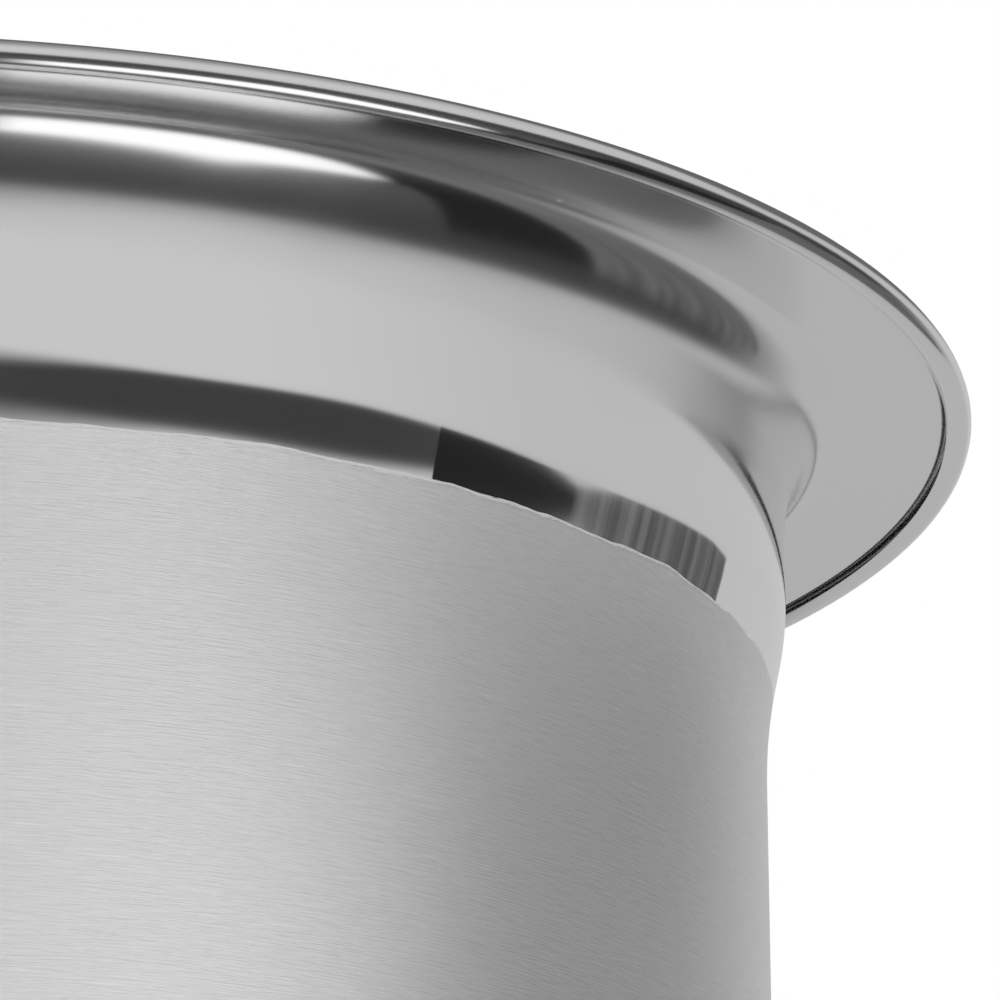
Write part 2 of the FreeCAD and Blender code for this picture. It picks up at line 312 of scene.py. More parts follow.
def grain_group() -> EffectGroup:
    """Brushing marks: short soft streaks around the axis or along it, and specks for painted
    glints.

    Returns:
        The group.
    """
    group = EffectGroup(
        "BrushGrain",
        {"Width": 0.3, "Length": 6.0, "Upright": 0.0},
        ("Streaks", "Long Marks", "Glints"),
    )
    w = group.wiring
    upright = group.given["Upright"]
    x, y, z = w.split(group.given["Position"])
    fine = w.maths("DIVIDE", 1.0, w.product(group.given["Width"], MM))
    slow = w.maths("DIVIDE", 1.0, w.product(group.given["Length"], MM))
    side = w.blend(upright, slow, fine)
    rise = w.blend(upright, fine, slow)
    climb = w.blend(upright, w.total(z, w.from_axis(x, y)), z)
    place = w.joined(w.product(x, side), w.product(y, side), w.product(climb, rise))
    group.put("Streaks", w.noise(place, 1.0, 3.0, 0.65))
    group.put("Long Marks", w.noise(w.stretched(place, (0.21, 0.21, 0.63)), 1.0))
    # specks that a material adds to its colour as painted glints
    group.put("Glints", w.specks(w.stretched(place, (0.5, 0.5, 0.5)), 1.0, 0.35, 0.05))
    return group


def handling_group() -> EffectGroup:
    """Smudges, dust, fine scratches and slow unevenness of a cleaned surface.

    Returns:
        The group.
    """
    group = EffectGroup(
        "Handling", {"Dust": 0.1, "Smudge": 0.5}, ("Dust", "Smudge", "Scratches", "Patches")
    )
    w = group.wiring
    place = group.given["Position"]
    group.put("Dust", w.product(w.specks(place, 420.0, 0.16, 0.035), group.given["Dust"]))
    cloud = w.ramp(w.noise(place, 28.0, 4.0, 0.6), 0.45, 0.75)
    group.put("Smudge", w.product(cloud, group.given["Smudge"]))
    lines = w.noise(w.stretched(place, (60.0, 75.0, 1900.0)), 1.0, 1.0, 0.4)
    middle = w.maths("ABSOLUTE", w.maths("SUBTRACT", lines, 0.5))
    group.put("Scratches", w.ramp(middle, 0.012, 0.0))
    group.put("Patches", w.noise(place, 45.0))
    return group


def thread_group() -> EffectGroup:
    """Screw thread around the upright axis, inside a given radius.

    Returns:
        The group.
    """
    group = EffectGroup("Thread", {"Pitch": 1.5, "Radius": 5.0}, ("Height",))
    w = group.wiring
    x, y, z = w.split(group.given["Position"])
    turns = w.maths("DIVIDE", z, w.product(group.given["Pitch"], MM))
    around = w.maths("DIVIDE", w.maths("ARCTAN2", y, x), 2.0 * math.pi)
    wave = w.maths("PINGPONG", w.total(turns, around), 0.5)
    reach = w.maths("DIVIDE", w.from_axis(x, y), w.product(group.given["Radius"], MM))
    group.put("Height", w.product(wave, w.ramp(reach, 1.08, 1.04)))
    return group


GRAIN = grain_group()
HANDLING = handling_group()
THREAD = thread_group()


class Finish:
    """A material under construction, with its wiring and its Principled shader."""

    def __init__(self, name: str) -> None:
        """Makes the material.

        Args:
            name: Name of the material.
        """
        self.material = bpy.data.materials.new(name)
        self.material.use_nodes = True
        self.wiring = Wiring(self.material.node_tree)
        self.shader = self.wiring.place("BsdfPrincipled")
        self.surface = self.wiring.place("OutputMaterial", self.shader.outputs[0]).inputs[0]
        self.position = self.wiring.place("TexCoord").outputs["Object"]

    def set(self, **values: object) -> None:
        """Sets or links inputs of the shader by name, with _ for a space."""
        self.wiring.supply(self.shader, **values)

    def raised(self, height: Socket, depth: float, normal: Socket | None = None) -> Socket:
        """Adds a bump from a height.

        Args:
            height: Height as a share of the depth.
            depth: Depth in metres.
            normal: Normal that the bump adds to.

        Returns:
            The new normal.
        """
        node = self.wiring.place("Bump")
        self.wiring.supply(node, Distance=depth, Height=height, Normal=normal)
        return node.outputs["Normal"]

    def turned_tangent(self, grain: Grain, strength: float) -> None:
        """Stretches reflections across the grain.

        Args:
            grain: Direction of the marks.
            strength: Anisotropy of the shader.
        """
        tangent = self.wiring.place("Tangent", direction_type="RADIAL", axis="Z")
        turn = 0.25 if grain is Grain.ROUND else 0.0
        self.set(Tangent=tangent.outputs[0], Anisotropic=strength, Anisotropic_Rotation=turn)


@dataclass(frozen=True)
class BucketSteel:
    """Bright drawn steel: polished rim and collar above a level, brushed body below it, whose
    colour carries painted light: it is made lighter and flecked with painted glints.

    Heights and depths are in metres.
    """

    bead: float
    boundary: float
    colour: Colour = (0.80, 0.80, 0.805, 1.0)
    polish: float = 0.045
    neck_polish: float = 0.12
    neck_depth: float = 0.013
    neck_blur: float = 0.004
    fray: float = 0.0004
    brushing: float = 0.43
    # painted light: gain that makes the brushed body's colour lighter
    painted_light_gain: float = 1.18
    metallic: float = 0.80
    anisotropy: float = 1.0
    mark_depth: float = 0.00013

    def material(self) -> bpy.types.Material:
        """Makes the material.

        Returns:
            The material.
        """
        finish = Finish("bucket_steel")
        w = finish.wiring
        place = finish.position
        fray = w.noise(w.stretched(place, (90.0, 90.0, 500.0)), 1.0, 3.0, 0.6)
        edge = w.ramp(fray, 0.2, 0.8, -self.fray, self.fray, smooth=False)
        level = w.total(w.split(place)[2], edge)
        brushed = w.ramp(level, self.boundary + self.fray / 2, self.boundary - self.fray)
        marks = GRAIN.used_in(w, Position=place, Width=0.16, Length=3.5)
        care = HANDLING.used_in(w, Position=place, Dust=0.12, Smudge=0.5)
        streaks = marks["Streaks"]
        neck_foot = self.bead - self.neck_depth
        neck = w.ramp(level, neck_foot, neck_foot + self.neck_blur)
        polish = w.blend(neck, self.polish, self.neck_polish)
        polish = w.total(polish, w.product(care["Smudge"], 0.03))
        rough = w.ramp(streaks, 0.3, 0.7, self.brushing - 0.03, self.brushing + 0.03, smooth=False)
        rough = w.total(w.blend(brushed, polish, rough), care["Dust"])
        shade = w.ramp(streaks, 0.25, 0.75, 0.92, 1.06, smooth=False)
        # painted glints: the specks make the brushed colour lighter
        shade = w.total(shade, w.product(marks["Glints"], 0.12))
        # painted light: the brushed body's colour is made lighter by the gain, standing in for the
        # light that it picks up
        shade = w.blend(brushed, 1.0, w.product(shade, self.painted_light_gain))
        finish.set(
            Roughness=rough,
            Base_Color=w.shaded(self.colour, shade),
            Metallic=w.maths("SUBTRACT", w.blend(brushed, 1.0, self.metallic), care["Dust"]),
            Normal=finish.raised(w.product(brushed, streaks), self.mark_depth),
        )
        finish.turned_tangent(Grain.ROUND, self.anisotropy)
        return finish.material


@dataclass(frozen=True)
class WorkedMetal:
    """Metal with brushing or turning marks, smudges, dust, scratches and a little staining.

    Widths, lengths, pitch and radius are in millimetres, and depths in metres.
    """

    name: str
    colour: Colour
    roughness: float
    spread: float = 0.04
    grain: Grain = Grain.ROUND
    anisotropy: float = 0.6
    mark_width: float = 0.3
    mark_length: float = 9.0
    mark_depth: float = 0.000004
    contrast: float = 0.06
    dust: float = 0.3
    smudge: float = 0.4
    scratch: float = 0.1
    stain: float = 0.05
    metallic: float = 1.0
    thread: Pair | None = None

    def material(self) -> bpy.types.Material:
        """Makes the material.

        Returns:
            The material.
        """
        finish = Finish(self.name)
        w = finish.wiring
        place = finish.position
        upright = 1.0 if self.grain is Grain.UPRIGHT else 0.0
        marks = GRAIN.used_in(
            w, Position=place, Width=self.mark_width, Length=self.mark_length, Upright=upright
        )
        care = HANDLING.used_in(w, Position=place, Dust=self.dust, Smudge=self.smudge)
        streaks, patches = marks["Streaks"], care["Patches"]
        low, high = self.roughness - self.spread, self.roughness + self.spread
        rough = w.ramp(streaks, 0.3, 0.7, low, high, smooth=False)
        scratched = w.product(care["Scratches"], self.scratch)
        rough = w.total(rough, w.product(care["Smudge"], 0.08), scratched)
        shade = w.ramp(streaks, 0.25, 0.75, 1.0 - self.contrast, 1.0 + self.contrast, smooth=False)
        stained = w.ramp(patches, 0.35, 0.65, 1.0 - self.stain, 1.0)
        normal = finish.raised(w.blend(0.35, streaks, marks["Long Marks"]), self.mark_depth)
        if self.thread is not None:
            pitch, radius = self.thread
            thread = THREAD.used_in(w, Position=place, Pitch=pitch, Radius=radius)
            normal = finish.raised(thread["Height"], pitch * MM, normal)
        finish.set(
            Roughness=w.total(rough, care["Dust"]),
            Base_Color=w.shaded(self.colour, w.product(shade, stained)),
            Metallic=w.maths("SUBTRACT", self.metallic, care["Dust"]),
            Normal=normal,
        )
        finish.turned_tangent(self.grain, self.anisotropy)
        return finish.material


@dataclass(frozen=True)
class CastIron:
    """Grey iron in a thin coat of dark paint, with sand marks and rust at its thin spots."""

    colour: Colour = (0.045, 0.047, 0.05, 1.0)
    rust: Colour = (0.16, 0.06, 0.03, 1.0)

    def material(self) -> bpy.types.Material:
        """Makes the material.

        Returns:
            The material.
        """
        finish = Finish("cast_ballast")
        w = finish.wiring
        sand = w.noise(finish.position, 900.0, 4.0, 0.6)
        swell = w.noise(finish.position, 55.0, 3.0, 0.5)
        thin = w.product(w.ramp(swell, 0.6, 0.72), w.ramp(sand, 0.45, 0.65))
        finish.set(
            Base_Color=w.tint(w.product(thin, 0.7), self.colour, self.rust),
            Roughness=w.ramp(sand, 0.3, 0.7, 0.55, 0.8, smooth=False),
            Normal=finish.raised(w.blend(0.4, sand, swell), 0.00025),
        )
        return finish.material


@dataclass(frozen=True)
class ZincPlate:
    """Galvanised sheet with its spangle of flat crystals."""

    colour: Colour = (0.56, 0.58, 0.60, 1.0)

    def material(self) -> bpy.types.Material:
        """Makes the material.

        Returns:
            The material.
        """
        finish = Finish("zinc_plate")
        w = finish.wiring
        care = HANDLING.used_in(w, Position=finish.position, Dust=0.4, Smudge=0.5)
        _, tone = w.cells(finish.position, 140.0)
        shade = w.ramp(tone, 0.0, 1.0, 0.82, 1.08, smooth=False)
        rough = w.ramp(tone, 0.0, 1.0, 0.34, 0.5, smooth=False)
        rough = w.total(rough, w.product(care["Scratches"], 0.15))
        finish.set(
            Base_Color=w.shaded(self.colour, shade),
            Roughness=w.total(rough, care["Dust"]),
            Metallic=w.maths("SUBTRACT", 1.0, care["Dust"]),
            Normal=finish.raised(w.noise(finish.position, 700.0, 3.0, 0.6), 0.00001),
        )
        return finish.material


@dataclass(frozen=True)
class BlackRubber:
    """Moulded rubber, matt, with a fine skin and a little dust."""

    colour: Colour = (0.018, 0.018, 0.019, 1.0)
    powder: Colour = (0.35, 0.34, 0.32, 1.0)

    def material(self) -> bpy.types.Material:
        """Makes the material.

        Returns:
            The material.
        """
        finish = Finish("black_rubber")
        w = finish.wiring
        care = HANDLING.used_in(w, Position=finish.position, Dust=0.8, Smudge=0.5)
        skin = w.noise(finish.position, 2600.0, 3.0, 0.6)
        powder = w.total(care["Dust"], w.product(care["Smudge"], 0.12))
        finish.set(
            Base_Color=w.tint(powder, self.colour, self.powder),
            Roughness=w.ramp(skin, 0.3, 0.7, 0.6, 0.78, smooth=False),
            Normal=finish.raised(skin, 0.00006),
            Specular_IOR_Level=0.35,
        )
        return finish.material


@dataclass
class SheetPath:
    """Half section of bent sheet, followed along one skin.

    Headings are degrees above the outward radial direction. Positive thickness lies to the
    left of the direction of travel, and negative thickness to the right. Lengths are in
    millimetres.
    """

    radius: float
    level: float
    heading: float
    thickness: float
    ease: float = 0.0
    spans: list[Pair] = field(default_factory=list)

    def __post_init__(self) -> None:
        """Keeps the start of the path."""
        self.start = (self.radius, self.level, self.heading)

    def run(self, length: float) -> None:
        """Adds a straight stretch.

        Args:
            length: Its length.
        """
        angle = math.radians(self.heading)
        self.radius += length * math.cos(angle)
        self.level += length * math.sin(angle)
        self.spans.append((length, 0.0))

    def run_to_radius(self, radius: float) -> None:
        """Adds a straight stretch that ends at a radius."""
        self.run((radius - self.radius) / math.cos(math.radians(self.heading)))

    def run_to_level(self, level: float) -> None:
        """Adds a straight stretch that ends at a height."""
        self.run((level - self.level) / math.sin(math.radians(self.heading)))

    def bend(self, radius: float, degrees: float) -> None:
        """Adds a round stretch.

        Args:
            radius: Radius of the followed skin.
            degrees: Turn, positive to the left.
        """
        side = math.copysign(radius, degrees)
        angle = math.radians(self.heading)
        centre = (self.radius - side * math.sin(angle), self.level + side * math.cos(angle))
        self.heading += degrees
        angle = math.radians(self.heading)
        self.radius = centre[0] + side * math.sin(angle)
        self.level = centre[1] - side * math.cos(angle)
        self.spans.append((radius * math.radians(abs(degrees)), degrees))

    def outline(self, grain: float = 0.12, stride: float = 6.0) -> np.ndarray:
        """Closed outline of the sheet.

        Args:
            grain: Spacing of the points in bends, smaller where the sheet bends tighter.
            stride: Longest distance between two points.

        Returns:
            Rows of (radius, height), down the followed skin and back along the other one,
            which has half as many.
        """
        fine = 0.02
        zero = [0.0]
        ends = np.cumsum(zero + [length for length, _ in self.spans])
        headings = np.cumsum([self.start[2]] + [degrees for _, degrees in self.spans])
        count = max(2, int(round(ends[-1] / fine)) + 1)
        along = np.linspace(0.0, ends[-1], count)
        heading = np.interp(along, ends, headings)
        reach = int(self.ease / fine / 2)
        if reach > 0:
            padded = np.pad(heading, reach, mode="edge")
            kernel = np.ones(2 * reach + 1) / (2 * reach + 1)
            heading = np.convolve(padded, kernel, mode="valid")
        middle = np.radians((heading[1:] + heading[:-1]) / 2)
        gap = np.diff(along)
        radius = self.start[0] + np.concatenate([zero, np.cumsum(gap * np.cos(middle))])
        level = self.start[1] + np.concatenate([zero, np.cumsum(gap * np.sin(middle))])
        effort = np.sqrt(np.radians(np.abs(np.diff(heading))) * gap) / grain + gap / stride
        share = np.concatenate([zero, np.cumsum(effort)])
        wanted = np.linspace(0.0, share[-1], int(math.ceil(share[-1])) + 1)
        picked = np.unique(np.searchsorted(share, wanted).clip(0, count - 1))
        angle = np.radians(heading[picked])
        skin = np.stack([radius[picked], level[picked]], axis=1)
        away = np.stack([-np.sin(angle), np.cos(angle)], axis=1) * self.thickness
        back = np.concatenate([(skin + away)[:-1:2], (skin + away)[-1:]])
        return np.concatenate([skin, back[::-1]])


def arc_between(start: Pair, middle: Pair, end: Pair, count: int = 24) -> list[Pair]:
    """Points of the circular arc through three points.

    Args:
        start: First point.
        middle: A point between the ends.
        end: Last point.
        count: Stretches in the arc.

    Returns:
        The points, with both ends.
    """
    a, b, c = (complex(*point) for point in (start, middle, end))
    skew = (c - a) / (b - a)
    centre = a + (b - a) * (skew - abs(skew) ** 2) / (2j * skew.imag)
    first, last = a - centre, c - centre
    turn = math.atan2((last / first).imag, (last / first).real)
    result: list[Pair] = []
    for i in range(count + 1):
        spot = centre + first * complex(math.cos(turn * i / count), math.sin(turn * i / count))
        result.append((spot.real, spot.imag))
    return result


def eased(points: list[Pair], radius: float, steps: int = 4) -> np.ndarray:
    """Rounds the sharp corners of a closed outline.

    Args:
        points: Its corners.
        radius: Distance from a corner at which its rounding starts.
        steps: Stretches in a rounding.

    Returns:
        The rounded outline.
    """
    corners = np.array(points, float)
    result: list[np.ndarray] = []
    for before, corner, after in zip(
        np.roll(corners, 1, axis=0), corners, np.roll(corners, -1, axis=0)
    ):
        back, ahead = before - corner, after - corner
        lengths = np.linalg.norm(back), np.linalg.norm(ahead)
        straight = -np.dot(back, ahead) / (lengths[0] * lengths[1])
        cut = min(radius, lengths[0] / 2.5, lengths[1] / 2.5)
        if straight > 0.9 or (corner[0] == 0.0 and before[0] == 0.0):
            result.append(corner)
            continue
        first, last = corner + back / lengths[0] * cut, corner + ahead / lengths[1] * cut
        for share in np.linspace(0.0, 1.0, steps + 1):
            result.append(
                first * (1 - share) ** 2 + corner * 2 * share * (1 - share) + last * share**2
            )
    return np.array(result)


def placed(name: str, data: bpy.types.ID) -> bpy.types.Object:
    """Adds an object to the scene.

    Args:
        name: Name of the object.
        data: Its mesh, camera or light.

    Returns:
        The new object.
    """
    item = bpy.data.objects.new(name, data)
    bpy.context.scene.collection.objects.link(item)
    return item


def turned_piece(
    name: str,
    outline: np.ndarray,
    divisions: Turn,
    centres: tuple[Pair, ...] = ((0.0, 0.0),),
    crease: float = 40.0,
) -> bpy.types.Object:
    """Turns a closed outline about one or more upright axes.

    Args:
        name: Name of the object.
        outline: (radius, height) points in millimetres.
        divisions: How finely the outline is turned.
        centres: Places of the axes, in metres.
        crease: Angle in degrees above which an edge is sharp.

    Returns:
        The new object.
    """
    points = outline * MM
    points[:, 0] = np.where(points[:, 0] < 1e-6, 0.0, points[:, 0])
    following = np.roll(points, -1, axis=0)
    if np.sum(points[:, 0] * following[:, 1] - following[:, 0] * points[:, 1]) < 0.0:
        points = points[::-1]
    segments = divisions.value
    angles = np.linspace(0.0, 2.0 * math.pi, segments, endpoint=False)
    vertices: list[Triple] = []
    faces: list[tuple[int, ...]] = []
    for east, north in centres:
        rings: list[list[int]] = []
        for radius, height in points:
            first = len(vertices)
            if radius == 0.0:
                vertices.append((east, north, height))
                rings.append([first] * segments)
                continue
            vertices.extend(
                (east + radius * math.cos(a), north + radius * math.sin(a), height)
                for a in angles
            )
            rings.append(list(range(first, first + segments)))
        for low, high in zip(rings, rings[1:] + rings[:1]):
            for i in range(segments):
                j = (i + 1) % segments
                corners = tuple(dict.fromkeys((low[i], low[j], high[j], high[i])))
                if len(corners) > 2:
                    faces.append(corners)
    mesh = bpy.data.meshes.new(name)
    mesh.from_pydata(vertices, [], faces)
    mesh.validate()
    mesh.polygons.foreach_set("use_smooth", [True] * len(mesh.polygons))
    mesh.set_sharp_from_angle(angle=math.radians(crease))
    return placed(name, mesh)


def paint(piece: bpy.types.Object, material: bpy.types.Material) -> None:
    """Makes a material the only one of a piece."""
    piece.data.materials.clear()
    piece.data.materials.append(material)


def dress(
    piece: bpy.types.Object, material: bpy.types.Material, node: str, body: Body = Body.STAND
) -> None:
    """Gives a new piece its material and its body, and hides and logs the CAD node that it stands
    for.

    Args:
        piece: The new piece.
        material: Its material, perhaps with a number added to its name.
        node: CAD node that it stands for.
        body: Body that it rides on.
    """
    paint(piece, material)
    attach(piece, body.value)
    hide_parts(node)
    LOG.info("%s stands for %s", piece.name, node)


def finish_node(node: str, material: bpy.types.Material, bevel: float = 0.25) -> None:
    """Gives a kept CAD node its material and broken edges.

    Args:
        node: Name of the node.
        material: Its material.
        bevel: Width of the broken edges, in millimetres.
    """
    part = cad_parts[node]
    paint(part, material)
    edges = part.modifiers.new("broken edges", "BEVEL")
    edges.width = bevel * MM
    edges.segments = 2
    edges.limit_method = "ANGLE"
    edges.angle_limit = math.radians(40.0)
    LOG.info("%s keeps its shape", node)


@dataclass(frozen=True)
class Finishes:
    """Materials of the stand, made once and shared by its sub-assemblies."""

    polished: bpy.types.Material = field(default_factory=WorkedMetal(
        "polished_steel", (0.80, 0.80, 0.805, 1.0), 0.10, 0.015,
        mark_width=0.25, mark_length=22.0, mark_depth=0.0000015, contrast=0.02,
    ).material)
    column: bpy.types.Material = field(default_factory=WorkedMetal(
        "column_steel", (0.90, 0.90, 0.905, 1.0), 0.30, 0.04, Grain.UPRIGHT, 0.6,
        mark_width=0.2, mark_length=12.0, contrast=0.05, dust=0.1, metallic=0.72,
    ).material)
    cover: bpy.types.Material = field(default_factory=WorkedMetal(
        "base_steel", (0.90, 0.90, 0.905, 1.0), 0.30, 0.04, Grain.ROUND, 0.75,
        mark_width=0.25, mark_length=8.0, contrast=0.06, dust=0.15, metallic=0.75,
    ).material)
    insert: bpy.types.Material = field(default_factory=WorkedMetal(
        "insert_steel", (0.50, 0.49, 0.47, 1.0), 0.36, 0.06,
        mark_width=0.4, mark_length=30.0, mark_depth=0.00001, contrast=0.1, stain=0.2,
    ).material)
    fastener: bpy.types.Material = field(default_factory=WorkedMetal(
        "fastener_steel", (0.62, 0.61, 0.57, 1.0), 0.30, 0.05,
        mark_depth=0.000006, stain=0.15, thread=(1.5, 5.0),
    ).material)
    iron: bpy.types.Material = field(default_factory=CastIron().material)
    zinc: bpy.types.Material = field(default_factory=ZincPlate().material)
    rubber: bpy.types.Material = field(default_factory=BlackRubber().material)


@dataclass
class Bucket:
    """Drawn bucket with a rolled rim, a flange, a flared collar and a punted floor."""

    floor: float
    rim_radius: float
    bead_height: float = 208.67
    collar_radius: float = 96.55
    sheet: float = 0.7
    bead_radius: float = 1.33
    curl_turn: float = 275.0
    lead_angle: float = 35.0
    lead_run: float = 1.0
    lead_radius: float = 1.5
    flange_droop: float = 6.0
    neck: tuple[Pair, ...] = ((3.5, 47.5), (5.7, 16.5), (13.2, 20.8), (31.0, 11.2))
    collar_drop: float = 16.6
    step_angle: float = 12.4
    crest_radius: float = 26.5
    step_run: float = 1.75
    root_radius: float = 56.0
    taper: float = 0.5
    corner_radius: float = 12.0
    punt_radius: float = 62.0
    punt_height: float = 6.0
    punt_bend: float = 6.0
    punt_angle: float = 45.0
    brushing_top: float = 26.5
    ease: float = 0.7

    @property
    def bead_level(self) -> float:
        """Height of the rolled rim's centre."""
        return self.floor + self.bead_height

    def section(self) -> SheetPath:
        """Half section of the sheet, from the rolled edge to the middle of the floor.

        Returns:
            The path of the outer skin.
        """
        curl = self.bead_radius - self.sheet
        first = UPRIGHT + self.lead_angle - self.curl_turn
        path = SheetPath(
            self.rim_radius - self.bead_radius + curl * math.cos(math.radians(first)),
            self.bead_level + curl * math.sin(math.radians(first)),
            first + UPRIGHT,
            -self.sheet,
            self.ease,
        )
        path.bend(curl, self.curl_turn)
        path.run(self.lead_run)
        path.bend(self.lead_radius, -self.flange_droop - self.lead_angle)
        path.run_to_radius(self.flange_root())
        for radius, degrees in self.neck:
            path.bend(radius, degrees)
        path.run_to_level(self.bead_level - self.collar_drop)
        path.bend(self.crest_radius, -self.step_angle)
        path.run(self.step_run)
        path.bend(self.root_radius, self.step_angle - self.taper)
        corner = UPRIGHT - self.taper
        drop = self.corner_radius * (1.0 - math.cos(math.radians(corner)))
        path.run_to_level(self.floor + drop)
        path.bend(self.corner_radius, -corner)
        slope = math.radians(self.punt_angle)
        rise = self.punt_bend * (1.0 - math.cos(slope))
        reach = self.punt_bend * math.sin(slope)
        ramp = (self.punt_height - 2.0 * rise) / math.sin(slope)
        path.run_to_radius(self.punt_radius + 2.0 * reach + ramp * math.cos(slope))
        path.bend(self.punt_bend, -self.punt_angle)
        path.run(ramp)
        path.bend(self.punt_bend, self.punt_angle)
        path.run_to_radius(0.0)
        return path

    def flange_root(self) -> float:
        """Finds where the flange meets the neck.

        Returns:
            Its radius.
        """
        turned = 0.0
        radius = self.collar_radius
        for bend, degrees in reversed(self.neck):
            start, end = math.radians(turned), math.radians(turned + degrees)
            radius += bend * (math.cos(start) - math.cos(end))
            turned += degrees
        return radius

    def build(self) -> None:
        """Makes the bucket's piece and dresses it."""
        piece = turned_piece("bucket_drawn", self.section().outline(), Turn.BOWL)
        steel = BucketSteel(self.bead_level * MM, (self.bead_level - self.brushing_top) * MM)
        dress(piece, steel.material(), "bucket_shell", Body.BUCKET)


@dataclass
class Seat:
    """Dish, mat and hub that carry the bucket on top of the column."""

    finishes: Finishes
    dish_level: float
    hub_level: float
    sheet: float = 1.0
    wall_radius: float = 95.2
    corner_radius: float = 13.0
    wall_run: float = 5.0
    lip: Pair = (1.0, 200.0)
    bore: float = 4.3
    pad: Triple = (14.0, 80.0, 2.0)
    hub_radii: Triple = (17.0, 42.0, 12.75)
    hub_web: float = 6.0
    hub_neck: float = 7.0
    hub_rim: float = 3.0
    hub_waist: Pair = (6.2, 10.2)

    def dish(self) -> np.ndarray:
        """Spun dish with an upturned wall and a rolled lip.

        Returns:
            Its closed outline.
        """
        path = SheetPath(self.bore, self.dish_level, 0.0, self.sheet, 0.5)
        path.run_to_radius(self.wall_radius - self.corner_radius)
        path.bend(self.corner_radius, UPRIGHT)
        path.run(self.wall_run)
        path.bend(self.lip[0], -self.lip[1])
        return path.outline(0.2)

    def hub(self) -> np.ndarray:
        """Turned boss that spreads the load under the dish.

        Returns:
            Its closed outline.
        """
        foot, top, socket = self.hub_radii
        neck, rim = self.hub_level + self.hub_neck, self.dish_level - self.hub_rim
        web = self.dish_level - self.hub_web
        waist = (foot + self.hub_waist[0], neck + self.hub_waist[1])
        flare = arc_between((foot, neck), waist, (top, rim))
        corners = [
            (top, self.dish_level), (self.bore, self.dish_level), (self.bore, web),
            (socket, web), (socket, self.hub_level), (foot, self.hub_level),
        ]
        return eased(flare + corners, 0.6)

    def build(self) -> None:
        """Makes the seat's pieces and dresses them."""
        inner, outer, thickness = self.pad
        top = self.dish_level + self.sheet
        steel, rubber = self.finishes.polished, self.finishes.rubber
        dress(turned_piece("seat_dish_spun", self.dish(), Turn.BOWL), steel, "seat_dish")
        mat = [(inner, top), (outer, top), (outer, top + thickness), (inner, top + thickness)]
        dress(turned_piece("seat_pad_moulded", eased(mat, 0.5), Turn.RING), rubber, "seat_pad")
        dress(turned_piece("dish_hub_turned", self.hub(), Turn.HUB), steel, "dish_hub")
        for node in ("dish_screw", "dish_washer", "dish_spring_washer"):
            finish_node(node, self.finishes.fastener)


@dataclass
class Column:
    """Two tubes joined by a turned knop over a threaded stud."""

    finishes: Finishes
    tube_radius: float
    wall: float = 1.2
    knop_radius: float = 18.0
    knop_web: float = 4.0
    knop_neck: float = 1.6
    knop_edge: float = 2.0
    bore: float = 5.3
    gap: float = 0.05

    def tube(self, low: float, high: float) -> np.ndarray:
        """Outline of a tube with deburred ends, between two heights."""
        inner, outer = self.tube_radius - self.wall, self.tube_radius
        return eased([(inner, low), (outer, low), (outer, high), (inner, high)], 0.3)

    def knop(self, low: float, high: float) -> np.ndarray:
        """Round knop with a web between its two sockets.

        Args:
            low: Height of its lower end.
            high: Height of its upper end.

        Returns:
            Its closed outline.
        """
        neck, socket = self.tube_radius + self.knop_neck, self.tube_radius + self.gap
        middle, web, edge = (low + high) / 2, self.knop_web / 2, self.knop_edge
        belly = arc_between((neck, low + edge), (self.knop_radius, middle), (neck, high - edge))
        corners = [
            (neck, high), (socket, high),
            (socket, middle + web), (self.bore, middle + web),
            (self.bore, middle - web), (socket, middle - web),
            (socket, low), (neck, low),
        ]
        return eased(belly + corners, 0.4)

    def build(self) -> None:
        """Makes the column's pieces and dresses them."""
        for node in ("upper_tube", "lower_tube"):
            low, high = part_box(node)
            piece = turned_piece(node + "_drawn", self.tube(low.z / MM, high.z / MM), Turn.TUBE)
            dress(piece, self.finishes.column, node)
        low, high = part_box("joint_knop")
        knop = turned_piece("joint_knop_turned", self.knop(low.z / MM, high.z / MM), Turn.RING)
        dress(knop, self.finishes.polished, "joint_knop")
        for node in ("top_plug", "upper_joint_plug", "lower_joint_plug", "bottom_plug"):
            finish_node(node, self.finishes.insert)
        finish_node("joint_stud", self.finishes.fastener)


